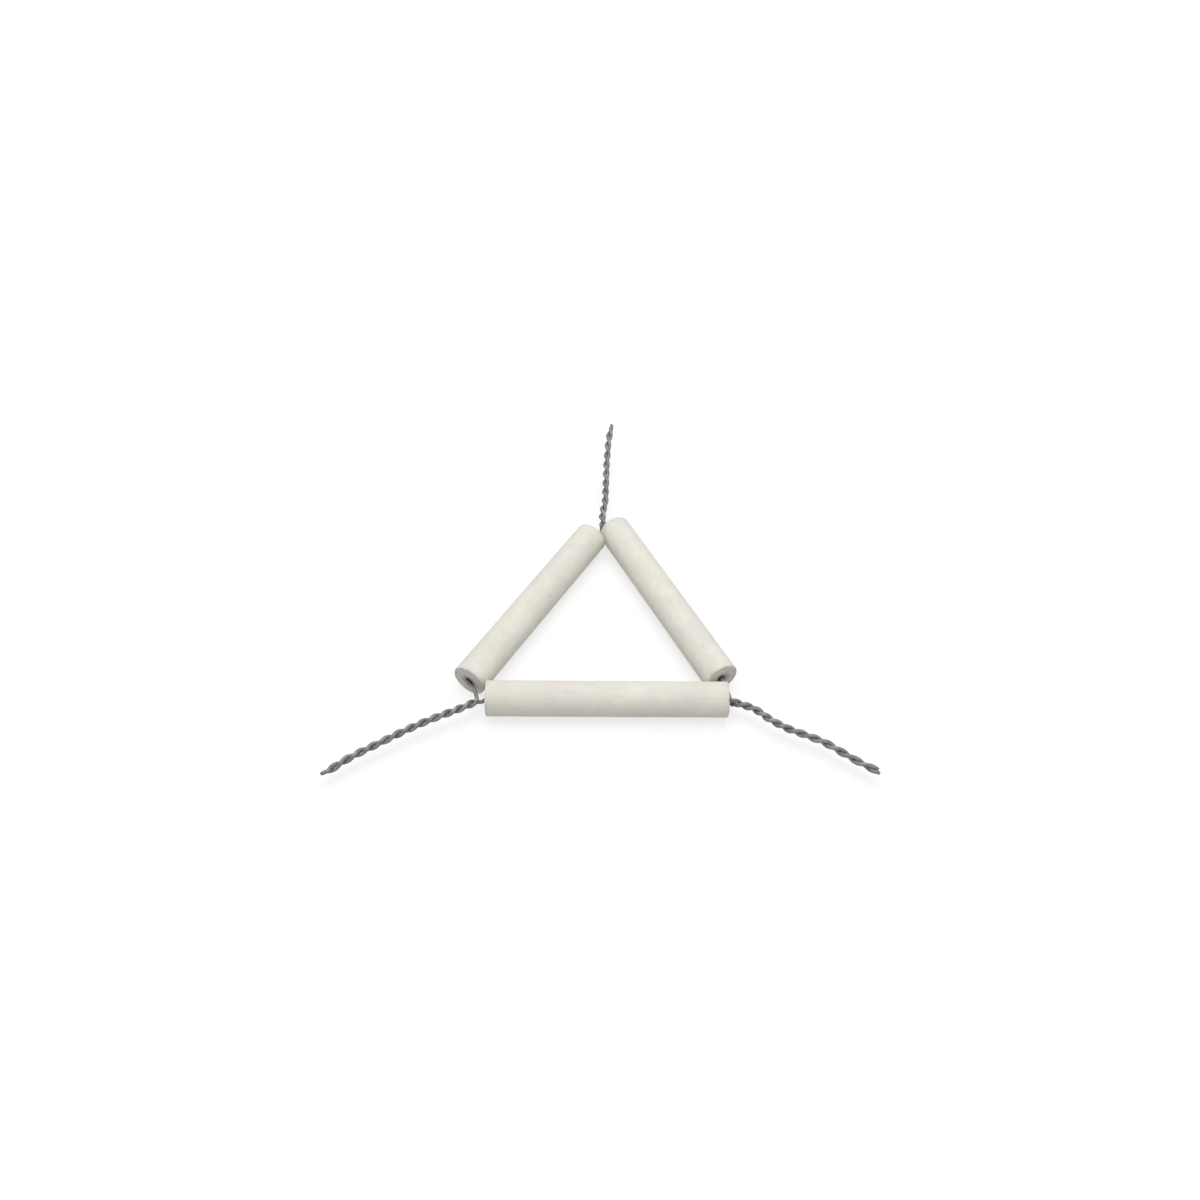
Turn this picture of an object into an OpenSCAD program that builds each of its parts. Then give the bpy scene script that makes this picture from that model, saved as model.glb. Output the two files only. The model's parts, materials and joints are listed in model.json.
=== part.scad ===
// Pipe clay triangle: three unglazed clay tubes, each threaded loosely on its own iron wire.
// The tubes lie flat round a triangular opening, the end of each one butting on the side of
// the next, and the wires' free ends are twisted together in pairs into three legs.

/* [Clay tubes] */
// Length of each clay tube
tube_length = 60; // [50:1:80]
// Outer diameter of each clay tube
tube_d = 9; // [8:0.5:12]
// Diameter of the bore that the wire runs through
bore_d = 2; // [1.6:0.1:4]
// Radius of the worn outer rim at each end of a tube
rim_round = 0.25; // [0.1:0.05:1]
// Radius of the edge round each mouth of the bore
mouth_round = 0.2; // [0.1:0.05:0.6]

/* [Triangle] */
// Running gap between the end of one tube and the side of the next
tube_gap = 0.15; // [0.1:0.05:0.4]
// How much longer the front tube is than its side of the opening
front_overrun = 5.5; // [4:0.1:8]
// How much longer the left tube is than its side of the opening
left_overrun = 2.1; // [1.5:0.1:4]
// How much longer the right tube is than its side of the opening
right_overrun = 4.1; // [2.5:0.1:6]

/* [Wires] */
// Diameter of the iron wire
wire_d = 1; // [0.8:0.1:1.2]
// Gap between the two strands of a twist
strand_gap = 0.06; // [0.04:0.02:0.2]
// Gap under the wire where it lies along the bottom of a bore
bore_gap = 0.05; // [0.02:0.01:0.1]

/* [Left leg] */
// How far the left twist starts beyond the end of the left tube, along that tube
left_knot_out = 4.45; // [3:0.05:5.5]
// How far the left twist starts to the front tube's side of the left tube's axis
left_knot_side = 5; // [4:0.1:6]
// Height of the left knot above the bench
left_knot_height = 4.2; // [3:0.1:6]
// Length of the left twist, from its knot to the end of the shorter strand
left_leg_length = 39.4; // [25:0.1:60]
// Direction of the left leg seen from above, in degrees anticlockwise from +X
left_leg_heading = 211.3; // [200:0.1:225]
// Rise of the left leg from its knot to its tip
left_leg_rise = -0.6; // [-1:0.2:4]
// Full turns of the left twist
left_leg_turns = 6; // [4:0.1:8]
// Angle round the twist at which the left tube's wire enters it
left_leg_start = 35; // [10:1:90]
// How much tighter the left twist is wound at its knot than on average
left_leg_tightness = 0.09; // [0:0.01:0.4]
// Length by which one strand runs on at the left tip
left_leg_tail = 1.3; // [0.2:0.1:4]

/* [Right leg] */
// How far the right twist starts beyond the end of the front tube, along that tube
right_knot_out = 2.05; // [1.6:0.05:5]
// How far the right twist starts to the right tube's side of the front tube's axis
right_knot_side = -0.6; // [-2:0.1:0]
// Height of the right knot above the bench
right_knot_height = 4; // [3:0.1:6]
// Length of the right twist, from its knot to the end of the shorter strand
right_leg_length = 37.7; // [25:0.1:60]
// Direction of the right leg seen from above, in degrees anticlockwise from +X
right_leg_heading = 328.5; // [315:0.1:340]
// Rise of the right leg from its knot to its tip
right_leg_rise = -0.4; // [-1:0.2:4]
// Full turns of the right twist
right_leg_turns = 5.6; // [4:0.1:8]
// Angle round the twist at which the front tube's wire enters it
right_leg_start = 52; // [0:1:120]
// How much tighter the right twist is wound at its knot than on average
right_leg_tightness = 0.25; // [0:0.01:0.4]
// Length by which one strand runs on at the right tip
right_leg_tail = 0.3; // [0.2:0.1:4]

/* [Back leg] */
// How far the back twist starts beyond the end of the right tube, along that tube
back_knot_out = 3.1; // [2.5:0.1:5]
// How far the back twist starts to the left tube's side of the right tube's axis
back_knot_side = 1.95; // [0.5:0.05:3]
// Height of the back knot above the bench
back_knot_height = 3.9; // [3:0.1:6]
// Length of the back twist, from its knot to the end of the shorter strand
back_leg_length = 38.7; // [25:0.1:60]
// Direction of the back leg seen from above, in degrees anticlockwise from +X
back_leg_heading = 86.7; // [70:0.1:100]
// Rise of the back leg from its knot to its tip
back_leg_rise = 3.6; // [-1:0.2:5]
// Full turns of the back twist
back_leg_turns = 5.4; // [4:0.1:8]
// Angle round the twist at which the right tube's wire enters it
back_leg_start = 210; // [180:1:240]
// How much tighter the back twist is wound at its knot than on average
back_leg_tightness = 0.15; // [0:0.01:0.4]
// Length by which one strand runs on at the back tip
back_leg_tail = 2.3; // [0.2:0.1:4]

/* [Hidden] */

clay = "#e6e0d2";
iron = "#7d7c7a";

tube_r = tube_d / 2;
bore_r = bore_d / 2;
wire_r = wire_d / 2;
tube_sides = 64;
rim_sides = 32;
wire_sides = 10;
rings_per_turn = 12;
entry_steps = 7;
lead_ease = 0.8;

// Corners and tubes are counted round the triangle from the front tube: 0 is the front tube
// and the left corner, 1 the left tube and the back corner, 2 the right tube and the right
// corner. Tube i butts at corner i on the side of tube i + 1, which runs on past it.
overrun = [front_overrun, left_overrun, right_overrun];
side = [for (run = overrun) tube_length - run];

function next(i) = (i + 1) % 3;
function before(i) = (i + 2) % 3;
function corner_angle(i) =
    acos((side[i] ^ 2 + side[next(i)] ^ 2 - side[before(i)] ^ 2) / (2 * side[i] * side[next(i)]));

angle = [for (i = [0:2]) corner_angle(i)];
half_round = (side[0] + side[1] + side[2]) / 2;
opening_r = side[0] * side[1] * sin(angle[0]) / 2 / half_round;

// Heading of each tube from its free end to its butting end, and the directions that go with it.
heading = [180, angle[0], angle[0] + angle[1] - 180];
function turned(a) = [cos(a), sin(a), 0];
function along(i) = turned(heading[i]);
function outward(i) = turned(heading[i] + 90);

// The opening's corners: the origin is the centre of the largest round thing that drops in.
corner_left = [-opening_r / tan(angle[0] / 2), -opening_r, tube_r];
corner = [corner_left, corner_left + side[1] * along(1), corner_left - side[0] * along(0)];

// How far a tube runs past its corner before its rounded rim is one gap from the next tube.
function butt_reach(i) =
    rim_round + (tube_gap + rim_round) / tan(angle[i]) - rim_round / sin(angle[i]);

// Centres of a tube's two end faces.
function butt_end(i) = corner[i] + (tube_r + tube_gap) * outward(i) + butt_reach(i) * along(i);
function free_end(i) = butt_end(i) - tube_length * along(i);

// Sizes of the legs, by corner: left, back and right.
knot_out = [left_knot_out, back_knot_out, right_knot_out];
knot_side = [left_knot_side, back_knot_side, right_knot_side];
knot_height = [left_knot_height, back_knot_height, right_knot_height];
leg_length = [left_leg_length, back_leg_length, right_leg_length];
leg_heading = [left_leg_heading, back_leg_heading, right_leg_heading];
leg_rise = [left_leg_rise, back_leg_rise, right_leg_rise];
leg_turns = [left_leg_turns, back_leg_turns, right_leg_turns];
leg_start = [left_leg_start, back_leg_start, right_leg_start];
leg_tightness = [left_leg_tightness, back_leg_tightness, right_leg_tightness];
leg_tail = [left_leg_tail, back_leg_tail, right_leg_tail];
twist_r = (wire_d + strand_gap) / 2;

// Hand bends: how far each leg strays to the left of its straight line, at equal steps.
leg_bends = [
    [0, -0.2, -0.75, -1.05, -1.15, -1.05, -1, -0.75, 0],
    [0, 0.4, -0.05, 0.1, 0.2, 0.4, 0.4, 0.35, 0],
    [0, 0.7, -0.1, -0.25, 0.3, 0.75, 0.4, 0, 0],
];

// Places each wire is led by between its tube and the knot, given like the knot itself: how
// far out beyond the end of the tube that runs on, how far to its side, and the height.
pass_stops = [[[0.65, 1.2, tube_r - 0.3], [1.55, 2.85, tube_r]], [], []];
butt_stops = [
    [[3.2, tube_r + 1.6, tube_r - 0.9]],
    [[0.6, tube_r + 0.4, 2.4], [1.9, tube_r - 1.4, 2.2]],
    [[0.9, 0.8 * tube_r, 1.2], [1.1, 0.4 * tube_r, 1.2], [1.25, 0.3, 2.1]],
];

function unit(v) = v / norm(v);
function at(list, i) = list[max(0, min(len(list) - 1, i))];

// Smooth curve through equally spaced values, read at u from 0 to 1 and straight on past 1.
function through(list, u) =
    let (
        steps = len(list) - 1,
        i = min(steps - 1, floor(u * steps)),
        t = u * steps - i,
        a = list[i],
        b = list[i + 1],
        ta = (b - at(list, i - 1)) / 2,
        tb = (at(list, i + 2) - a) / 2
    )
    t > 1 ? b + (t - 1) * tb : hermite(a, ta, b, tb, t);

// Cubic curve from a to b that leaves along ta and arrives along tb.
function hermite(a, ta, b, tb, t) =
    (2 * t ^ 3 - 3 * t ^ 2 + 1) * a + (t ^ 3 - 2 * t ^ 2 + t) * ta
    + (3 * t ^ 2 - 2 * t ^ 3) * b + (t ^ 3 - t ^ 2) * tb;

// A place beyond the free end of the tube that runs on past corner i, given by how far out,
// how far to the side and how high it is.
function beyond_end(i, stop) =
    let (
        tube = next(i),
        place = free_end(tube) - stop[0] * along(tube) - stop[1] * outward(tube)
    )
    [place.x, place.y, stop[2]];

// Where the twist at corner i starts.
function knot(i) = beyond_end(i, [knot_out[i], knot_side[i], knot_height[i]]);

// Middle line of the leg at corner i, with u from 0 at the knot to 1 at the shorter strand's end.
function leg_line(i, u) =
    knot(i) + leg_length[i] * u * turned(leg_heading[i])
    + through(leg_bends[i], u) * turned(leg_heading[i] + 90) + [0, 0, leg_rise[i] * u ^ 1.5];

// The strands wind left-handed round the middle line, half a turn apart, and a tail that
// runs on past the shorter strand is left straight.
function strand_angle(i, u) =
    let (wind = min(1, u))
    leg_start[i] - 360 * leg_turns[i] * (wind + leg_tightness[i] * wind * (1 - wind));
function strand(i, half, u) =
    let (
        ahead = unit(leg_line(i, u + 0.002) - leg_line(i, max(0, u - 0.002))),
        left = unit(cross([0, 0, 1], ahead)),
        up = cross(ahead, left),
        a = strand_angle(i, u) + 180 * half
    )
    leg_line(i, u) + twist_r * (cos(a) * left + sin(a) * up);

function leg_rings(i) = ceil(rings_per_turn * leg_turns[i]);
function leg_points(i, half, extra) =
    let (rings = leg_rings(i), end = 1 + extra / leg_length[i])
    [for (k = [0:rings]) strand(i, half, end * k / rings)];

// A wire lies along the bottom of its bore.
bore_drop = [0, 0, bore_r - wire_r - bore_gap];
function butt_mouth(i) = butt_end(i) - bore_drop;
function free_mouth(i) = free_end(i) - bore_drop;

// Points from a mouth, leaving along its bore, by way of the points given, to a strand.
function lead(mouth, ahead, via, strand_points) =
    let (
        entry = strand_points[0],
        arrive = unit(strand_points[1] - strand_points[0]),
        stops = concat([mouth], via, [entry]),
        last = len(stops) - 1,
        span = [for (k = [1:last]) norm(stops[k] - stops[k - 1])],
        tangent = [
            for (k = [0:last])
                k == 0 ? ahead : k == last ? arrive : unit(stops[k + 1] - stops[k - 1])
        ]
    )
    [
        for (k = [0:last - 1], s = [0:entry_steps - 1])
            let (ease = lead_ease * span[k])
            hermite(stops[k], ease * tangent[k], stops[k + 1], ease * tangent[k + 1], s / entry_steps)
    ];

function reversed(list) = [for (k = [len(list) - 1:-1:0]) list[k]];

// Whole route of wire i: in from the leg where its tube runs on past, through the bore, and
// out to the leg where its tube butts on the next.
function wire_route(i) =
    let (
        pass = leg_points(before(i), 0, 0),
        butt = leg_points(i, 1, leg_tail[i]),
        inner = [for (stop = pass_stops[before(i)]) beyond_end(before(i), stop)],
        outer = [for (stop = butt_stops[i]) beyond_end(i, stop)],
        way_in = lead(free_mouth(i), -along(i), inner, pass),
        way_out = lead(butt_mouth(i), along(i), outer, butt)
    )
    concat(reversed(pass), reversed(way_in), way_out, butt);

// Round bar along a route: each ring is carried on from the one before without turning.
function carried(normal, ahead) = unit(normal - (normal * ahead) * ahead);
module bar(route, r, sides) {
    last = len(route) - 1;
    ahead = [for (k = [0:last]) unit(at(route, k + 1) - at(route, k - 1))];
    normal = [
        for (k = 0, n = carried([0, 0, 1], ahead[0]); k <= last; k = k + 1, n = carried(n, at(ahead, k))) n
    ];
    points = [
        for (k = [0:last], s = [0:sides - 1])
            let (a = 360 * s / sides)
            route[k] + r * (cos(a) * normal[k] + sin(a) * cross(ahead[k], normal[k]))
    ];
    function vertex(k, s) = k * sides + s % sides;
    walls = [
        for (k = [0:last - 1], s = [0:sides - 1], half = [0, 1])
            half == 0
                ? [vertex(k, s), vertex(k + 1, s + 1), vertex(k, s + 1)]
                : [vertex(k, s), vertex(k + 1, s), vertex(k + 1, s + 1)]
    ];
    caps = [[for (s = [0:sides - 1]) vertex(0, s)], [for (s = [sides - 1:-1:0]) vertex(last, s)]];
    polyhedron(points, concat(walls, caps), convexity = 10);
}

// Half section of a tube wall, with a round at each of its four corners.
module wall_section() {
    for (end = [0, 1])
        translate([0, end * tube_length])
            mirror([0, end]) {
                translate([tube_r - rim_round, rim_round])
                    circle(rim_round, $fn = rim_sides);
                translate([bore_r + mouth_round, mouth_round])
                    circle(mouth_round, $fn = rim_sides);
                translate([bore_r + mouth_round, 0])
                    square([tube_r - bore_r - rim_round - mouth_round, rim_round + mouth_round]);
            }
    translate([bore_r, mouth_round])
        square([tube_r - bore_r - rim_round, tube_length - 2 * mouth_round]);
    translate([bore_r + mouth_round, rim_round])
        square([tube_r - bore_r - mouth_round, tube_length - 2 * rim_round]);
}

module clay_tube(i) {
    color(clay)
        translate(free_end(i))
            rotate([0, 90, heading[i]])
                rotate_extrude($fn = tube_sides)
                    wall_section();
}

module iron_wire(i) {
    color(iron)
        bar(wire_route(i), wire_r, wire_sides);
}

module front_tube() {
    clay_tube(0);
}

module left_tube() {
    clay_tube(1);
}

module right_tube() {
    clay_tube(2);
}

module front_wire() {
    iron_wire(0);
}

module left_wire() {
    iron_wire(1);
}

module right_wire() {
    iron_wire(2);
}

front_tube();
left_tube();
right_tube();
front_wire();
left_wire();
right_wire();
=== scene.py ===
"""Dresses a pipe clay triangle: three worn clay tubes, each loose on its own iron wire, and
the three twisted legs that the wires' ends make.

The order is the tubes' places, the legs, the camera, the trees, the finishes, the pieces,
and last the bench and its light.
Sizes are in millimetres and become metres through MM where a mesh is made.
"""

import json
import math

import bpy
from mathutils import Matrix, Vector


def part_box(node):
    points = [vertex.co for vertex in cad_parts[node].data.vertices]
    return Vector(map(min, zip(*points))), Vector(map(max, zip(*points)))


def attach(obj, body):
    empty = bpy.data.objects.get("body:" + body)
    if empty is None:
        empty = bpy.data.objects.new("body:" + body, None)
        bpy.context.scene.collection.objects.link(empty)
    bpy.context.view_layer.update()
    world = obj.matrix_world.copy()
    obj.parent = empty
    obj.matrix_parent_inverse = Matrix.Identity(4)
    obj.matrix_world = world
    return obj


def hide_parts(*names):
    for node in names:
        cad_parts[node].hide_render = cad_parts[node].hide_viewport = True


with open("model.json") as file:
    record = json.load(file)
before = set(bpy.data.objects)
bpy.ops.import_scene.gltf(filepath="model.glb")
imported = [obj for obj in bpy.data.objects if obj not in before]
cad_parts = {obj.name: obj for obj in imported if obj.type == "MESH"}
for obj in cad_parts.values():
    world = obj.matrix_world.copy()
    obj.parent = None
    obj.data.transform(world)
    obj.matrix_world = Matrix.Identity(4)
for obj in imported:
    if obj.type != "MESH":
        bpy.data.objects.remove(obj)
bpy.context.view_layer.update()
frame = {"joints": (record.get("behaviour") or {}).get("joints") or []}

MM = 0.001

# ---------------------------------------------------------------- tubes: where the frame has them

TUBES = ("front_tube", "left_tube", "right_tube")
LOW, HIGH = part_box("front_tube")
TUBE_LENGTH = (HIGH.x - LOW.x) / MM
TUBE_D = (HIGH.z - LOW.z) / MM
BORE_D = 2
RIM_ROUND = 0.25
MOUTH_ROUND = 0.2

MIDDLE = {}
ALONG = {}
for joint in frame["joints"]:
    MIDDLE[joint["child"]] = Vector(joint["pos_m"]) / MM
    ALONG[joint["child"]] = Vector(joint["axis"]).normalized()


def outward(tube):
    """Level direction from a tube away from the opening."""
    return Vector((0, 0, 1)).cross(ALONG[tube])


def free_end(tube):
    return MIDDLE[tube] - TUBE_LENGTH / 2 * ALONG[tube]


def butt_end(tube):
    return MIDDLE[tube] + TUBE_LENGTH / 2 * ALONG[tube]


# ---------------------------------------------------------------- legs

WIRE_D = 1

# The twisted strands lie closer here than the solids' do, as pulled wire does: they all but
# touch down the leg and open a little over the knot's share of it.
STRAND_GAP = 0.015
KNOT_GAP = 0.08
KNOT_SHARE = 0.08

# The wire lies this far above the bore's floor.
BORE_GAP = 0.05

# past: the tube that runs on past this corner. butts: the tube that ends on its side.
# out, side and height place the knot from the end of the tube that runs on.
# heading is the leg's level direction, and rise is how far its tip is above its knot.
# turns, start and tightness are of the winding: tightness packs the coils near the knot.
# past_tail and butt_tail are how far each tube's wire goes on past the leg's length.
# bends is how far the leg strays to the left of its straight line, at equal steps.
# past_stops and butt_stops are the places each wire is led by on its way to the knot.
LEGS = {
    "left": dict(
        past="left_tube", butts="front_tube", out=4.45, side=5, height=4.2,
        length=39.4, heading=211.3, rise=-0.6, turns=6, start=35, tightness=0.09,
        past_tail=0, butt_tail=1.3,
        past_stops=((0.65, 1.2, 4.2), (1.55, 2.85, 4.5)),
        butt_stops=((3.2, 6.1, 3.6),),
        bends=(0, -0.2, -0.75, -1.05, -1.15, -1.05, -1, -0.75, 0),
    ),
    "back": dict(
        past="right_tube", butts="left_tube", out=3.1, side=1.95, height=3.9,
        length=38.7, heading=86.7, rise=3.6, turns=5.4, start=210, tightness=0.15,
        past_tail=0, butt_tail=2.3,
        past_stops=(),
        butt_stops=((0.6, 4.9, 2.4), (1.9, 3.1, 2.2)),
        bends=(0, 0.4, -0.05, 0.1, 0.2, 0.4, 0.4, 0.35, 0),
    ),
    "right": dict(
        past="front_tube", butts="right_tube", out=2.05, side=-0.6, height=4,
        length=37.7, heading=328.5, rise=-0.4, turns=5.7, start=52, tightness=0.25,
        past_tail=0.8, butt_tail=0,
        past_stops=(),
        butt_stops=((0.9, 3.6, 1.2), (1.1, 1.8, 1.2), (1.25, 0.3, 2.1)),
        bends=(0, 0.7, -0.1, -0.25, 0.3, 0.75, 0.4, 0, 0),
    ),
}
# A leg lifts slowly at first: its rise grows by this power of the way along it.
RISE_CURVE = 1.5
# How strongly a wire keeps its direction at each stop, as a share of the span.
LEAD_EASE = 0.8
LEG_RINGS_PER_TURN = 48
LEAD_STEPS = 28


def level(degrees):
    """Level direction at an angle anticlockwise from +X."""
    return Vector((math.cos(math.radians(degrees)), math.sin(math.radians(degrees)), 0))


def hermite(a, ta, b, tb, t):
    """Cubic curve from a to b that leaves along ta and arrives along tb."""
    return (
        (2 * t**3 - 3 * t**2 + 1) * a
        + (t**3 - 2 * t**2 + t) * ta
        + (3 * t**2 - 2 * t**3) * b
        + (t**3 - t**2) * tb
    )


def through(values, u):
    """Smooth curve through equally spaced values, straight on past its end."""
    steps = len(values) - 1
    i = min(steps - 1, int(u * steps))
    t = u * steps - i
    a, b = values[i], values[i + 1]
    ta = (b - values[max(0, i - 1)]) / 2
    tb = (values[min(steps, i + 2)] - a) / 2
    return b + (t - 1) * tb if t > 1 else hermite(a, ta, b, tb, t)


def beyond_end(leg, stop):
    """A place given as out, side and height from the end of the tube that runs on."""
    place = (
        free_end(leg["past"])
        - stop[0] * ALONG[leg["past"]]
        - stop[1] * outward(leg["past"])
    )
    place.z = stop[2]
    return place


def knot(leg):
    """Where a leg's twist starts."""
    return beyond_end(leg, (leg["out"], leg["side"], leg["height"]))


def leg_line(leg, u):
    """Middle line of a leg, u from 0 at the knot to 1 at the leg's length."""
    return (
        knot(leg)
        + leg["length"] * u * level(leg["heading"])
        + through(leg["bends"], u) * level(leg["heading"] + 90)
        + Vector((0, 0, leg["rise"] * u**RISE_CURVE))
    )


def twist_radius(u):
    """Radius of the winding, a little wider over the knot's share of the leg."""
    looser = max(0, 1 - u / KNOT_SHARE)
    gap = STRAND_GAP + looser * (KNOT_GAP - STRAND_GAP)
    return (WIRE_D + gap) / 2


def strand(leg, half, u):
    """A point on one of the two strands, which wind left-handed half a turn apart."""
    near = 0.002
    ahead = (leg_line(leg, u + near) - leg_line(leg, max(0, u - near))).normalized()
    left = Vector((0, 0, 1)).cross(ahead).normalized()
    up = ahead.cross(left)
    wind = min(1, u)
    wound = leg["turns"] * (wind + leg["tightness"] * wind * (1 - wind))
    a = math.radians(leg["start"] - 360 * wound + 180 * half)
    return leg_line(leg, u) + twist_radius(u) * (math.cos(a) * left + math.sin(a) * up)


def strand_points(leg, half, extra):
    rings = math.ceil(LEG_RINGS_PER_TURN * leg["turns"])
    end = 1 + extra / leg["length"]
    return [strand(leg, half, end * k / rings) for k in range(rings + 1)]


def lead(mouth, ahead, via, points):
    """From a tube's mouth, leaving along its bore, by way of the stops, to a strand."""
    stops = [mouth, *via, points[0]]
    last = len(stops) - 1
    tangents = [ahead]
    tangents += [(stops[k + 1] - stops[k - 1]).normalized() for k in range(1, last)]
    tangents += [(points[1] - points[0]).normalized()]
    line = []
    for k in range(last):
        span = (stops[k + 1] - stops[k]).length
        for s in range(LEAD_STEPS):
            a, b = LEAD_EASE * span * tangents[k], LEAD_EASE * span * tangents[k + 1]
            line.append(hermite(stops[k], a, stops[k + 1], b, s / LEAD_STEPS))
    return line


BORE_DROP = Vector((0, 0, (BORE_D - WIRE_D) / 2 - BORE_GAP))


def wire_route(tube):
    """In from the leg where this tube runs on past, through the bore, and out to the other."""
    past = next(leg for leg in LEGS.values() if leg["past"] == tube)
    butts = next(leg for leg in LEGS.values() if leg["butts"] == tube)
    inner = free_end(tube) - BORE_DROP
    outer = butt_end(tube) - BORE_DROP
    first = strand_points(past, 0, past["past_tail"])
    final = strand_points(butts, 1, butts["butt_tail"])
    inner_stops = [beyond_end(past, stop) for stop in past["past_stops"]]
    outer_stops = [beyond_end(butts, stop) for stop in butts["butt_stops"]]
    way_in = lead(inner, -ALONG[tube], inner_stops, first)
    way_out = lead(outer, ALONG[tube], outer_stops, final)
    return first[::-1] + way_in[::-1] + way_out + final


# ---------------------------------------------------------------- camera

LOOK_AT = Vector((0, 0, TUBE_D / 2)) * MM
CAMERA_DISTANCE = 290 * MM
CAMERA_ELEVATION = 49.62
CAMERA_ROLL = 0.312
LENS = 33.415
SENSOR = 36
SHIFT_X = -0.00084
SHIFT_Y = 0.02917


def set_camera():
    data = bpy.data.cameras.new("camera")
    data.lens = LENS
    data.sensor_width = SENSOR
    data.shift_x = SHIFT_X
    data.shift_y = SHIFT_Y
    data.clip_start = 0.01
    data.clip_end = 20
    camera = bpy.data.objects.new("camera", data)
    bpy.context.scene.collection.objects.link(camera)
    tilt = math.radians(CAMERA_ELEVATION)
    back = Vector((0, -math.cos(tilt), math.sin(tilt)))
    camera.matrix_world = (
        Matrix.Translation(LOOK_AT + CAMERA_DISTANCE * back)
        @ Matrix.Rotation(math.radians(90) - tilt, 4, "X")
        @ Matrix.Rotation(math.radians(CAMERA_ROLL), 4, "Z")
    )
    bpy.context.scene.camera = camera


# ---------------------------------------------------------------- node building


def colour(code):
    """Linear colour from a web colour code."""
    parts = [int(code[i : i + 2], 16) / 255 for i in (1, 3, 5)]
    linear = [c / 12.92 if c <= 0.04045 else ((c + 0.055) / 1.055) ** 2.4 for c in parts]
    return (*linear, 1)


def add(tree, kind, settings=None, **inputs):
    """A node of a kind, with its settings and its inputs: values or sockets, by name."""
    node = tree.nodes.new(kind)
    for name, value in (settings or {}).items():
        setattr(node, name, value)
    for name, value in inputs.items():
        key = int(name[1:]) if name[0] == "_" and name[1:].isdigit() else name.replace("_", " ")
        socket = node.inputs[key]
        if isinstance(value, bpy.types.NodeSocket):
            tree.links.new(value, socket)
        else:
            socket.default_value = value
    return node


def maths(tree, operation, *values, clamp=False):
    """Result of a Math node."""
    node = tree.nodes.new("ShaderNodeMath")
    node.operation = operation
    node.use_clamp = clamp
    for socket, value in zip(node.inputs, values):
        if isinstance(value, bpy.types.NodeSocket):
            tree.links.new(value, socket)
        else:
            socket.default_value = value
    return node.outputs[0]


def vectors(tree, operation, *values):
    """Vector result of a Vector Math node; a number goes to its Scale input."""
    node = tree.nodes.new("ShaderNodeVectorMath")
    node.operation = operation
    for i, value in enumerate(values):
        socket = node.inputs["Scale"] if operation == "SCALE" and i == 1 else node.inputs[i]
        if isinstance(value, bpy.types.NodeSocket):
            tree.links.new(value, socket)
        else:
            socket.default_value = value
    scalar = operation in ("LENGTH", "DOT_PRODUCT", "DISTANCE")
    return node.outputs["Value" if scalar else "Vector"]


def ramp(tree, value, low, high, start=0.0, end=1.0):
    """Smooth step: start below low, end above high."""
    node = tree.nodes.new("ShaderNodeMapRange")
    node.interpolation_type = "SMOOTHSTEP"
    for name, number in (("From Min", low), ("From Max", high), ("To Min", start), ("To Max", end)):
        node.inputs[name].default_value = number
    tree.links.new(value, node.inputs["Value"])
    return node.outputs["Result"]


def blended(tree, share, a, b):
    """Two colours mixed by a share."""
    node = tree.nodes.new("ShaderNodeMix")
    node.data_type = "RGBA"
    for name, value in (("Factor_Float", share), ("A_Color", a), ("B_Color", b)):
        socket = next(s for s in node.inputs if s.identifier == name)
        if isinstance(value, bpy.types.NodeSocket):
            tree.links.new(value, socket)
        else:
            socket.default_value = value
    return next(s for s in node.outputs if s.identifier == "Result_Color")


def laid_over(tree, body, share, strength, tint):
    """A body colour with a tint laid over it by a share, at a strength."""
    return blended(tree, maths(tree, "MULTIPLY", share, strength), body, colour(tint))


def noise(tree, place, scale, detail=3.0, rough=0.5):
    """Noise value at a place."""
    node = add(
        tree, "ShaderNodeTexNoise", Vector=place, Scale=scale, Detail=detail, Roughness=rough
    )
    return node.outputs[0]


def seen_ray(tree):
    """1 on rays that show the surroundings themselves, and 0 on those that light a surface."""
    path = tree.nodes.new("ShaderNodeLightPath").outputs
    return maths(
        tree, "MAXIMUM", path["Is Camera Ray"],
        maths(tree, "MAXIMUM", path["Is Glossy Ray"], path["Is Transmission Ray"]),
    )


# ---------------------------------------------------------------- geometry trees


def new_tree(name, numbers):
    """An empty geometry tree with an input geometry, named number inputs and a material."""
    tree = bpy.data.node_groups.new(name, "GeometryNodeTree")
    face = tree.interface
    face.new_socket("Geometry", in_out="INPUT", socket_type="NodeSocketGeometry")
    for label in numbers:
        face.new_socket(label, in_out="INPUT", socket_type="NodeSocketFloat")
    face.new_socket("Finish", in_out="INPUT", socket_type="NodeSocketMaterial")
    face.new_socket("Geometry", in_out="OUTPUT", socket_type="NodeSocketGeometry")
    return tree, tree.nodes.new("NodeGroupInput").outputs


def close_tree(tree, mesh, finish, crease):
    """Marks edges past a crease angle sharp, sets the finish and ends the tree."""
    smooth = add(tree, "GeometryNodeSetShadeSmooth", {"domain": "FACE"}, _0=mesh)
    angle = add(tree, "GeometryNodeInputMeshEdgeAngle").outputs["Unsigned Angle"]
    sharp = add(
        tree, "FunctionNodeCompare", {"data_type": "FLOAT", "operation": "GREATER_THAN"},
        _0=angle, _1=math.radians(crease),
    )
    edges = add(
        tree, "GeometryNodeSetShadeSmooth", {"domain": "EDGE"},
        Geometry=smooth.outputs[0], Selection=sharp.outputs[0],
    )
    edges.inputs["Shade Smooth"].default_value = False
    real = add(tree, "GeometryNodeRealizeInstances", Geometry=edges.outputs[0])
    done = add(tree, "GeometryNodeSetMaterial", Geometry=real.outputs[0], Material=finish)
    out = tree.nodes.new("NodeGroupOutput")
    tree.links.new(done.outputs[0], out.inputs[0])


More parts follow.
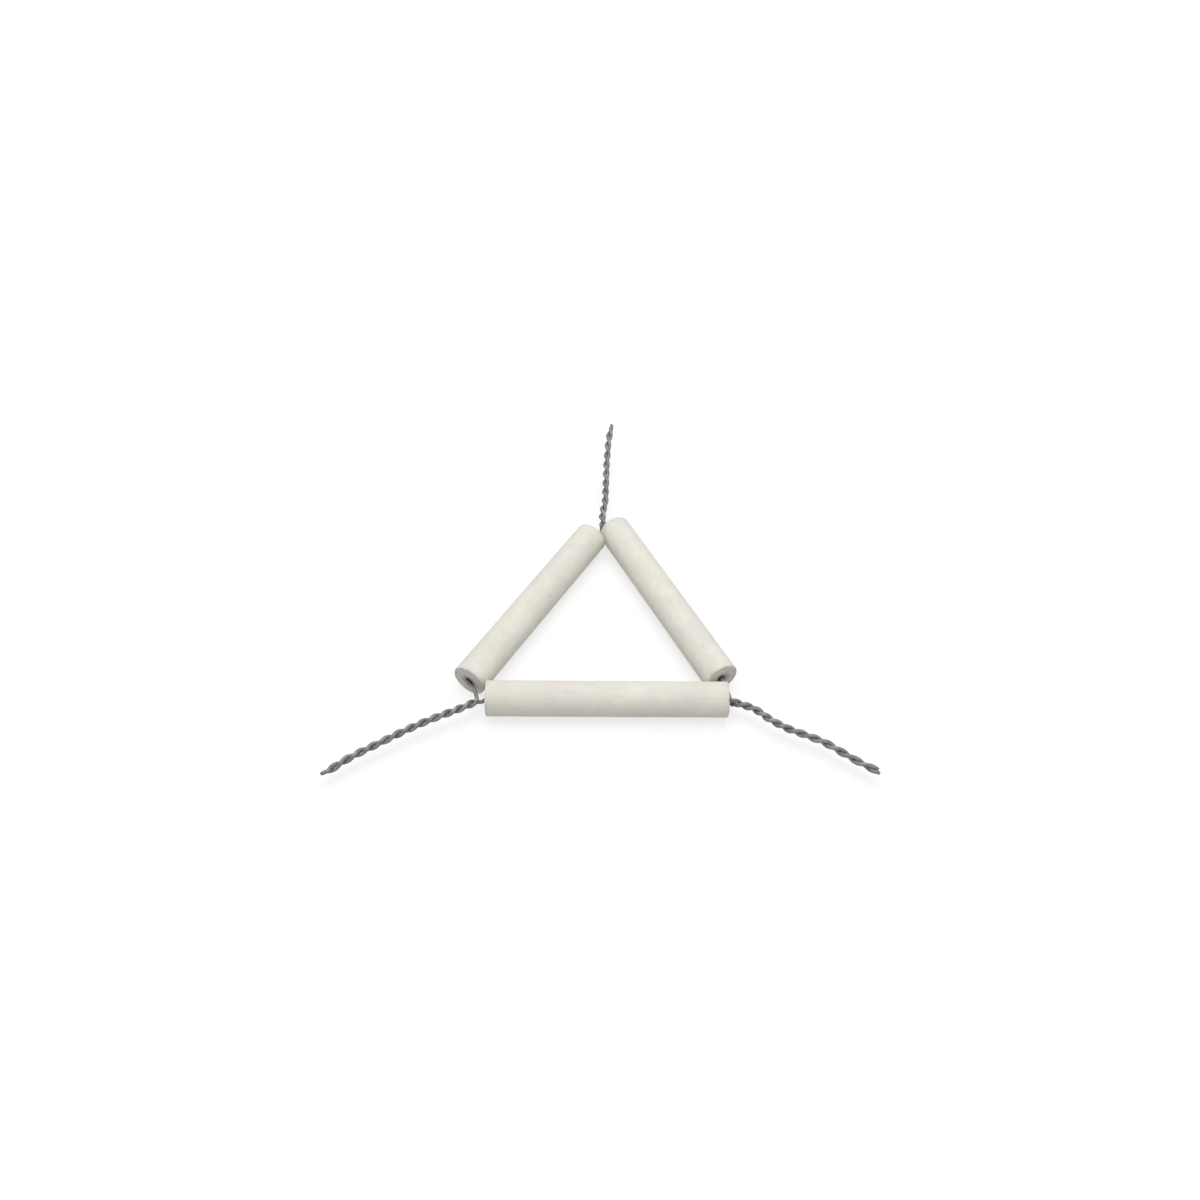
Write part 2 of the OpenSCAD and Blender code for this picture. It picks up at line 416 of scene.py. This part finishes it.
def captured(tree, geometry, **fields):
    """Geometry with fields captured on its points, and the captured sockets by name."""
    node = tree.nodes.new("GeometryNodeCaptureAttribute")
    node.domain = "POINT"
    tree.links.new(geometry, node.inputs["Geometry"])
    for name, (kind, socket) in fields.items():
        node.capture_items.new(kind, name)
        tree.links.new(socket, node.inputs[name])
    return node.outputs["Geometry"], {name: node.outputs[name] for name in fields}


def made(name, data, tree, finish, **numbers):
    """A plain mesh object of what a tree makes of a curve, at the origin."""
    source = bpy.data.objects.new(name + "_line", data)
    bpy.context.scene.collection.objects.link(source)
    modifier = source.modifiers.new("maker", "NODES")
    modifier.node_group = tree
    for item in tree.interface.items_tree:
        if item.item_type != "SOCKET" or item.in_out != "INPUT":
            continue
        label = item.name.lower().replace(" ", "_")
        if item.name == "Finish":
            modifier[item.identifier] = finish
        elif label in numbers:
            modifier[item.identifier] = float(numbers[label])
    shown = source.evaluated_get(bpy.context.evaluated_depsgraph_get())
    mesh = bpy.data.meshes.new_from_object(shown)
    mesh.name = name
    source.modifiers.remove(modifier)
    bpy.data.objects.remove(source)
    piece = bpy.data.objects.new(name, mesh)
    bpy.context.scene.collection.objects.link(piece)
    return piece


def poly_curve(name, points, closed=False):
    """A curve of straight pieces through points given in millimetres."""
    data = bpy.data.curves.new(name, "CURVE")
    data.dimensions = "3D"
    spline = data.splines.new("POLY")
    spline.points.add(len(points) - 1)
    for place, point in zip(points, spline.points):
        point.co = (*(c * MM for c in place), 1)
    spline.use_cyclic_u = closed
    return data


def wire_tree():
    """Round wire along a line, uneven as zinc leaves it and nipped flat at both cut ends."""
    tree, given = new_tree(
        "drawn_wire",
        ("Diameter", "Sides", "Ring spacing", "Nip length", "Nip thickness", "Unevenness", "Seed"),
    )
    line = add(
        tree, "GeometryNodeResampleCurve", {"mode": "LENGTH"},
        Curve=given["Geometry"], Length=given["Ring spacing"],
    )
    run = add(tree, "GeometryNodeSplineParameter").outputs["Length"]
    whole = add(tree, "GeometryNodeSplineLength").outputs["Length"]
    left = maths(tree, "MINIMUM", run, maths(tree, "SUBTRACT", whole, run))
    line, held = captured(
        tree, line.outputs[0],
        Centre=("VECTOR", add(tree, "GeometryNodeInputPosition").outputs[0]),
        Across=("VECTOR", add(tree, "GeometryNodeInputNormal").outputs[0]),
        Run=("FLOAT", run),
        Left=("FLOAT", left),
    )
    ring = add(
        tree, "GeometryNodeCurvePrimitiveCircle", {"mode": "RADIUS"},
        Resolution=given["Sides"], Radius=maths(tree, "MULTIPLY", given["Diameter"], 0.5),
    )
    ring, round_it = captured(
        tree, ring.outputs[0],
        Place=("VECTOR", add(tree, "GeometryNodeInputPosition").outputs[0]),
    )
    bar = add(
        tree, "GeometryNodeCurveToMesh", Curve=line, Profile_Curve=ring, Fill_Caps=True
    ).outputs[0]

    # a point's place on the wire, kept for its finish: x and y across it, z along it
    split = add(tree, "ShaderNodeSeparateXYZ", Vector=round_it["Place"])
    lay = add(
        tree, "ShaderNodeCombineXYZ",
        X=split.outputs[0], Y=split.outputs[1], Z=held["Run"],
    ).outputs[0]

    here = add(tree, "GeometryNodeInputPosition").outputs[0]
    off = vectors(tree, "SUBTRACT", here, held["Centre"])
    flat = vectors(tree, "DOT_PRODUCT", off, held["Across"])
    share = maths(tree, "DIVIDE", held["Left"], given["Nip length"], clamp=True)
    rounding = maths(tree, "POWER", share, 0.6)
    full_loss = maths(tree, "SUBTRACT", 1.0, given["Nip thickness"])
    loss = maths(tree, "MULTIPLY", maths(tree, "SUBTRACT", 1.0, rounding), full_loss)
    pinch = vectors(tree, "SCALE", held["Across"], maths(tree, "MULTIPLY", flat, loss))

    seeded = vectors(tree, "ADD", vectors(tree, "MULTIPLY", lay, (1, 1, 0.35)),
                     add(tree, "ShaderNodeCombineXYZ", X=given["Seed"]).outputs[0])
    rough = noise(tree, seeded, 1100.0, detail=2.0)
    swell = maths(tree, "MULTIPLY", rough, given["Unevenness"])
    thin = vectors(tree, "SCALE", off, swell)
    place = vectors(tree, "SUBTRACT", vectors(tree, "SUBTRACT", here, pinch), thin)
    bar = add(tree, "GeometryNodeSetPosition", Geometry=bar, Position=place).outputs[0]
    bar = add(
        tree, "GeometryNodeStoreNamedAttribute", {"data_type": "FLOAT_VECTOR", "domain": "POINT"},
        Geometry=bar, Name="lay", Value=lay,
    ).outputs[0]
    close_tree(tree, bar, given["Finish"], crease=50)
    return tree


def tube_section():
    """Half section of a tube wall, x out from the axis and y along it, anticlockwise."""
    arc_steps, step_along, step_across, longest_unsplit = 8, 1.0, 0.15, 0.5
    outer, inner, half = TUBE_D / 2, BORE_D / 2, TUBE_LENGTH / 2
    corners = (
        (outer, -half, RIM_ROUND, -90), (outer, half, RIM_ROUND, 0),
        (inner, half, MOUTH_ROUND, 90), (inner, -half, MOUTH_ROUND, 180),
    )
    points = []
    for x, y, radius, start in corners:
        cx = x - radius if x == outer else x + radius
        cy = y - math.copysign(radius, y)
        for k in range(arc_steps + 1):
            a = math.radians(start + 90 * k / arc_steps)
            points.append((cx + radius * math.cos(a), cy + radius * math.sin(a)))
    full = []
    for (x0, y0), (x1, y1) in zip(points, points[1:] + points[:1]):
        span = math.hypot(x1 - x0, y1 - y0)
        steps = 1
        if span > longest_unsplit:
            steps = round(span / (step_along if abs(y1 - y0) > abs(x1 - x0) else step_across))
        full += [(x0 + (x1 - x0) * s / steps, y0 + (y1 - y0) * s / steps) for s in range(steps)]
    return [(x, y, 0) for x, y in full]


def tube_tree():
    """A section turned round a tube's axis, worn at its rims, laid level at its heading."""
    tree, given = new_tree(
        "clay_tube",
        ("Turning radius", "Steps round", "Heading", "Middle X", "Middle Y", "Middle Z",
         "Half length", "Outer radius", "Waviness", "Rim wear", "Seed"),
    )
    path = add(
        tree, "GeometryNodeCurvePrimitiveCircle", {"mode": "RADIUS"},
        Resolution=given["Steps round"], Radius=given["Turning radius"],
    ).outputs[0]
    path = add(tree, "GeometryNodeSetCurveNormal", {"mode": "Z_UP"}, _0=path).outputs[0]
    inward = add(
        tree, "ShaderNodeCombineXYZ", X=maths(tree, "MULTIPLY", given["Turning radius"], -1.0)
    ).outputs[0]
    section = add(
        tree, "GeometryNodeTransform", Geometry=given["Geometry"], Translation=inward
    ).outputs[0]
    wall = add(tree, "GeometryNodeCurveToMesh", Curve=path, Profile_Curve=section).outputs[0]

    here = add(tree, "GeometryNodeInputPosition").outputs[0]
    normal = add(tree, "GeometryNodeInputNormal").outputs[0]
    part = add(tree, "ShaderNodeSeparateXYZ", Vector=here)
    radius = vectors(
        tree, "LENGTH",
        add(tree, "ShaderNodeCombineXYZ", X=part.outputs[0], Y=part.outputs[1]).outputs[0],
    )
    from_end = maths(
        tree, "SUBTRACT", given["Half length"], maths(tree, "ABSOLUTE", part.outputs[2])
    )
    from_side = maths(tree, "SUBTRACT", given["Outer radius"], radius)
    from_rim = maths(tree, "MAXIMUM", from_end, from_side)
    seeded = vectors(
        tree, "ADD", here, add(tree, "ShaderNodeCombineXYZ", Z=given["Seed"]).outputs[0]
    )
    long_wave = noise(tree, vectors(tree, "MULTIPLY", seeded, (1, 1, 0.2)), 300.0, detail=1.0)
    waves = maths(tree, "MULTIPLY", long_wave, given["Waviness"])
    bites = ramp(tree, noise(tree, seeded, 700.0, detail=3.0, rough=0.6), 0.5, 0.78)
    near_rim = ramp(tree, from_rim, 0.0002, 0.0011, 1.0, 0.0)
    chips = maths(
        tree, "MULTIPLY", maths(tree, "MULTIPLY", bites, near_rim), given["Rim wear"]
    )
    depth = maths(tree, "MULTIPLY", maths(tree, "ADD", waves, chips), -1.0)
    wall = add(
        tree, "GeometryNodeSetPosition", Geometry=wall, Offset=vectors(tree, "SCALE", normal, depth)
    ).outputs[0]
    on_side = add(
        tree, "GeometryNodeTransform", Geometry=wall, Rotation=(0, math.radians(90), 0)
    ).outputs[0]
    turn = add(tree, "ShaderNodeCombineXYZ", Z=given["Heading"]).outputs[0]
    place = add(
        tree, "ShaderNodeCombineXYZ",
        X=given["Middle X"], Y=given["Middle Y"], Z=given["Middle Z"],
    ).outputs[0]
    laid = add(
        tree, "GeometryNodeTransform", Geometry=on_side, Rotation=turn, Translation=place
    ).outputs[0]
    close_tree(tree, laid, given["Finish"], crease=60)
    return tree


# ---------------------------------------------------------------- finishes

CLAY = {
    "cream": "#eeebe0", "cool cream": "#e6e4d8", "blush": "#eae0da", "ash": "#dfdfda",
    "straw": "#e4e1c9", "drag line": "#cfcabd", "speck": "#8d8474", "scuff": "#b3aea3",
    "cut shade": "#dfded8", "cut": "#efede6", "rim": "#b5b3ac", "wire stain": "#877a6d",
}
IRON = {
    "shade": "#737371", "light": "#929290", "drawn line": "#60605e", "tarnish": "#4e4b47",
}


def new_finish(name):
    finish = bpy.data.materials.new(name)
    finish.use_nodes = True
    finish.node_tree.nodes.clear()
    return finish, finish.node_tree


def show(tree, shader):
    out = tree.nodes.new("ShaderNodeOutputMaterial")
    tree.links.new(shader.outputs[0], out.inputs["Surface"])


def tube_frame(tree, tube):
    """Object coordinates laid along one tube: x along it from its middle, y and z across."""
    there = tree.nodes.new("ShaderNodeTexCoord").outputs["Object"]
    heading = math.atan2(ALONG[tube].y, ALONG[tube].x)
    moved = vectors(tree, "SUBTRACT", there, tuple(MIDDLE[tube] * MM))
    return add(
        tree, "ShaderNodeMapping", {"vector_type": "POINT"},
        Vector=moved, Rotation=(0, 0, -heading),
    ).outputs[0]


def unglazed_clay(tube, seed):
    """Fired pipe clay, cream and matt: specks, faint stains, drag lines, greyed ends and painted
    shade down the bores.
    """
    finish, tree = new_finish(tube + "_clay")
    here = tube_frame(tree, tube)
    seeded = vectors(tree, "ADD", here, (seed, 0, 0))
    part = add(tree, "ShaderNodeSeparateXYZ", Vector=here)
    along, across, up = part.outputs
    radius = vectors(
        tree, "LENGTH", add(tree, "ShaderNodeCombineXYZ", Y=across, Z=up).outputs[0]
    )
    to_end = maths(
        tree, "SUBTRACT", TUBE_LENGTH / 2 * MM, maths(tree, "ABSOLUTE", along)
    )

    # body colour: broad warm and cool clouds over cream
    clouds = ramp(tree, noise(tree, seeded, 120.0, detail=3.0, rough=0.55), 0.3, 0.7)
    body = blended(tree, clouds, colour(CLAY["cream"]), colour(CLAY["cool cream"]))
    for tint, aside, scale, low, high, strength in (
        ("blush", (0, 0.4, 0), 150.0, 0.5, 0.66, 0.5),
        ("ash", (0, 0, 0.7), 260.0, 0.5, 0.68, 0.4),
        ("straw", (0, 0, 0.3), 210.0, 0.58, 0.75, 0.5),
    ):
        patch = ramp(tree, noise(tree, vectors(tree, "ADD", seeded, aside), scale), low, high)
        body = laid_over(tree, body, patch, strength, CLAY[tint])

    # drag lines from the die run along the tube
    stretched = vectors(tree, "MULTIPLY", seeded, (0.11, 1, 1))
    drag = noise(tree, stretched, 1500.0, detail=4.0, rough=0.6)
    body = blended(tree, ramp(tree, drag, 0.5, 0.72, 0.0, 0.23), body, colour(CLAY["drag line"]))

    # fine dark specks and a few larger grey scuffs
    wander = maths(tree, "MULTIPLY", noise(tree, seeded, 4200.0, detail=3.0), 0.0007)
    ragged = add(tree, "ShaderNodeCombineXYZ", X=wander, Y=wander, Z=wander).outputs[0]
    cells = add(
        tree, "ShaderNodeTexVoronoi", {"feature": "F1"},
        Vector=vectors(tree, "ADD", seeded, ragged), Scale=900.0,
    )
    few, size, depth = add(
        tree, "ShaderNodeSeparateXYZ", Vector=cells.outputs["Color"]
    ).outputs
    reach = maths(
        tree, "DIVIDE", cells.outputs["Distance"], ramp(tree, size, 0.0, 1.0, 0.06, 0.17)
    )
    speck = maths(
        tree, "MULTIPLY", ramp(tree, reach, 0.6, 1.0, 1.0, 0.0), ramp(tree, few, 0.84, 0.88)
    )
    speck = maths(tree, "MULTIPLY", speck, ramp(tree, depth, 0.0, 1.0, 0.35, 1.0))
    body = laid_over(tree, body, speck, 0.45, CLAY["speck"])
    scuff = ramp(tree, noise(tree, seeded, 480.0, detail=5.0, rough=0.7), 0.6, 0.72)
    body = laid_over(tree, body, scuff, 0.32, CLAY["scuff"])

    # ends: a pale cut face, a greyed rim, and a mouth stained by the wire with painted shade down
    # the bore
    face = maths(
        tree, "MULTIPLY", ramp(tree, to_end, 0.00012, 0.0004, 1.0, 0.0),
        ramp(tree, radius, 0.0037, 0.0043, 1.0, 0.0),
    )
    grime = noise(tree, vectors(tree, "ADD", seeded, (0.2, 0.2, 0)), 700.0, detail=4.0, rough=0.6)
    dirt = ramp(tree, grime, 0.35, 0.65)
    cut = blended(tree, dirt, colour(CLAY["cut shade"]), colour(CLAY["cut"]))
    body = blended(tree, maths(tree, "MULTIPLY", face, 0.9), body, cut)
    near_end = ramp(tree, to_end, 0.0, 0.0012, 1.0, 0.0)
    body = laid_over(tree, body, maths(tree, "MULTIPLY", near_end, dirt), 0.45, CLAY["rim"])
    # a brown stain from the wire round the mouth, and painted shade inside the bore: darkest at the
    # mouth, still over half as strong deep in
    wobble = maths(tree, "SUBTRACT", radius, maths(tree, "MULTIPLY", grime, 0.0014))
    stain_and_painted_bore_shade = maths(
        tree, "MULTIPLY", ramp(tree, wobble, 0.0005, 0.0019, 1.0, 0.0),
        ramp(tree, to_end, 0.0, 0.004, 1.0, 0.55),
    )
    body = laid_over(tree, body, stain_and_painted_bore_shade, 0.58, CLAY["wire stain"])

    grain = noise(tree, seeded, 5200.0, detail=6.0, rough=0.7)
    height = maths(tree, "ADD", grain, maths(tree, "MULTIPLY", drag, 0.6))
    height = maths(tree, "SUBTRACT", height, maths(tree, "MULTIPLY", speck, 0.5))
    bump = add(
        tree, "ShaderNodeBump", Height=height, Strength=0.35, Distance=0.00006
    )
    rough = ramp(tree, grain, 0.3, 0.7, 0.82, 0.95)
    shader = add(
        tree, "ShaderNodeBsdfPrincipled",
        Base_Color=body, Roughness=rough, Normal=bump.outputs[0], Specular_IOR_Level=0.25,
    )
    show(tree, shader)
    return finish


def dull_iron(name, seed):
    """Galvanised iron wire gone dull: grey, with darker blotches and drawn lines."""
    finish, tree = new_finish(name)
    lay = tree.nodes.new("ShaderNodeAttribute")
    lay.attribute_name = "lay"
    place = vectors(tree, "ADD", lay.outputs["Vector"], (0, 0, seed))
    there = tree.nodes.new("ShaderNodeTexCoord").outputs["Object"]
    patches = noise(tree, there, 650.0, detail=4.0, rough=0.6)
    shades = ramp(tree, patches, 0.35, 0.65)
    body = blended(tree, shades, colour(IRON["shade"]), colour(IRON["light"]))
    drawn = noise(tree, vectors(tree, "MULTIPLY", place, (1, 1, 0.04)), 9000.0, detail=3.0)
    body = blended(tree, ramp(tree, drawn, 0.5, 0.7, 0.0, 0.35), body, colour(IRON["drawn line"]))
    tarnish = ramp(tree, noise(tree, there, 1700.0, detail=5.0, rough=0.65), 0.55, 0.7)
    body = laid_over(tree, body, tarnish, 0.4, IRON["tarnish"])
    rough = ramp(tree, patches, 0.3, 0.7, 0.62, 0.45)
    bump = add(
        tree, "ShaderNodeBump",
        Height=maths(tree, "ADD", drawn, maths(tree, "MULTIPLY", tarnish, -0.6)),
        Strength=0.4, Distance=0.00002,
    )
    shader = add(
        tree, "ShaderNodeBsdfPrincipled",
        Base_Color=body, Roughness=rough, Normal=bump.outputs[0], Metallic=0.55,
    )
    show(tree, shader)
    return finish


# ---------------------------------------------------------------- pieces


def make_wires():
    tree = wire_tree()
    for i, tube in enumerate(TUBES):
        name = tube.replace("_tube", "_wire")
        piece = made(
            "drawn_" + name, poly_curve(name, wire_route(tube)), tree,
            dull_iron(name + "_iron", seed=0.1 * i),
            diameter=WIRE_D * MM, sides=20, ring_spacing=0.12 * MM, nip_length=0.55 * MM,
            nip_thickness=0.25, unevenness=0.02, seed=0.37 * i,
        )
        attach(piece, "wires")
        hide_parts(name)


def make_tubes():
    tree = tube_tree()
    for i, tube in enumerate(TUBES):
        middle = MIDDLE[tube] * MM
        piece = made(
            "fired_" + tube, poly_curve(tube, tube_section(), closed=True), tree,
            unglazed_clay(tube, seed=0.5 * i),
            turning_radius=(TUBE_D + BORE_D) / 4 * MM, steps_round=96,
            heading=math.atan2(ALONG[tube].y, ALONG[tube].x),
            middle_x=middle.x, middle_y=middle.y, middle_z=middle.z,
            half_length=TUBE_LENGTH / 2 * MM, outer_radius=TUBE_D / 2 * MM,
            waviness=0.05 * MM, rim_wear=0.16 * MM, seed=0.21 * i,
        )
        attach(piece, tube)
        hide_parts(tube)


# ---------------------------------------------------------------- bench and light


BENCH_HALF = 3.0
BENCH_PAINT = 0.57
BENCH_SHADE = 0.33


def grey(value):
    return (value, value, value, 1)


def make_bench():
    """A wide pale bench; it looks near white but lights the object as pale paint does."""
    mesh = bpy.data.meshes.new("bench")
    corners = [(x * BENCH_HALF, y * BENCH_HALF, 0) for x, y in ((-1, -1), (1, -1), (1, 1), (-1, 1))]
    mesh.from_pydata(corners, [], [(0, 1, 2, 3)])
    bench = bpy.data.objects.new("bench", mesh)
    bpy.context.scene.collection.objects.link(bench)
    finish, tree = new_finish("pale_bench")
    place = tree.nodes.new("ShaderNodeTexCoord").outputs["Object"]
    haze = ramp(tree, vectors(tree, "LENGTH", place), 0.12, 0.6, 0.7, 0.9)
    paint = add(tree, "ShaderNodeBsdfDiffuse", Color=grey(BENCH_PAINT))
    glow = add(tree, "ShaderNodeEmission", Color=grey(1), Strength=haze)
    shade = add(tree, "ShaderNodeBsdfDiffuse", Color=grey(BENCH_SHADE))
    bright = add(tree, "ShaderNodeAddShader", _0=glow.outputs[0], _1=shade.outputs[0])
    mix = add(
        tree, "ShaderNodeMixShader", _0=seen_ray(tree), _1=paint.outputs[0], _2=bright.outputs[0]
    )
    show(tree, mix)
    mesh.materials.append(finish)


def make_light():
    """A soft dome, brighter overhead, and one broad lamp above."""
    world = bpy.data.worlds.new("studio")
    bpy.context.scene.world = world
    world.use_nodes = True
    tree = world.node_tree
    tree.nodes.clear()
    where = tree.nodes.new("ShaderNodeTexCoord").outputs["Generated"]
    _, back, height = add(tree, "ShaderNodeSeparateXYZ", Vector=where).outputs
    seen = seen_ray(tree)
    strength = maths(
        tree, "MULTIPLY", ramp(tree, height, 0.0, 1.0, 0.55, 0.6),
        ramp(tree, back, 0.0, 1.0, 1.0, 0.65),
    )
    strength = maths(
        tree, "ADD", maths(tree, "MULTIPLY", strength, maths(tree, "SUBTRACT", 1.0, seen)), seen
    )
    sky = add(tree, "ShaderNodeBackground", Color=grey(1), Strength=strength)
    out = tree.nodes.new("ShaderNodeOutputWorld")
    tree.links.new(sky.outputs[0], out.inputs["Surface"])

    lamp = bpy.data.lights.new("softbox", "AREA")
    lamp.shape = "SQUARE"
    lamp.size = 0.8
    lamp.energy = 4.8
    softbox = bpy.data.objects.new("softbox", lamp)
    softbox.location = (0, 0.2, 0.88)
    direction = Vector(softbox.location)
    softbox.rotation_euler = direction.to_track_quat("Z", "Y").to_euler()
    bpy.context.scene.collection.objects.link(softbox)


set_camera()
make_wires()
make_tubes()
make_bench()
make_light()
bpy.context.scene.view_settings.view_transform = "Standard"

bpy.context.view_layer.update()
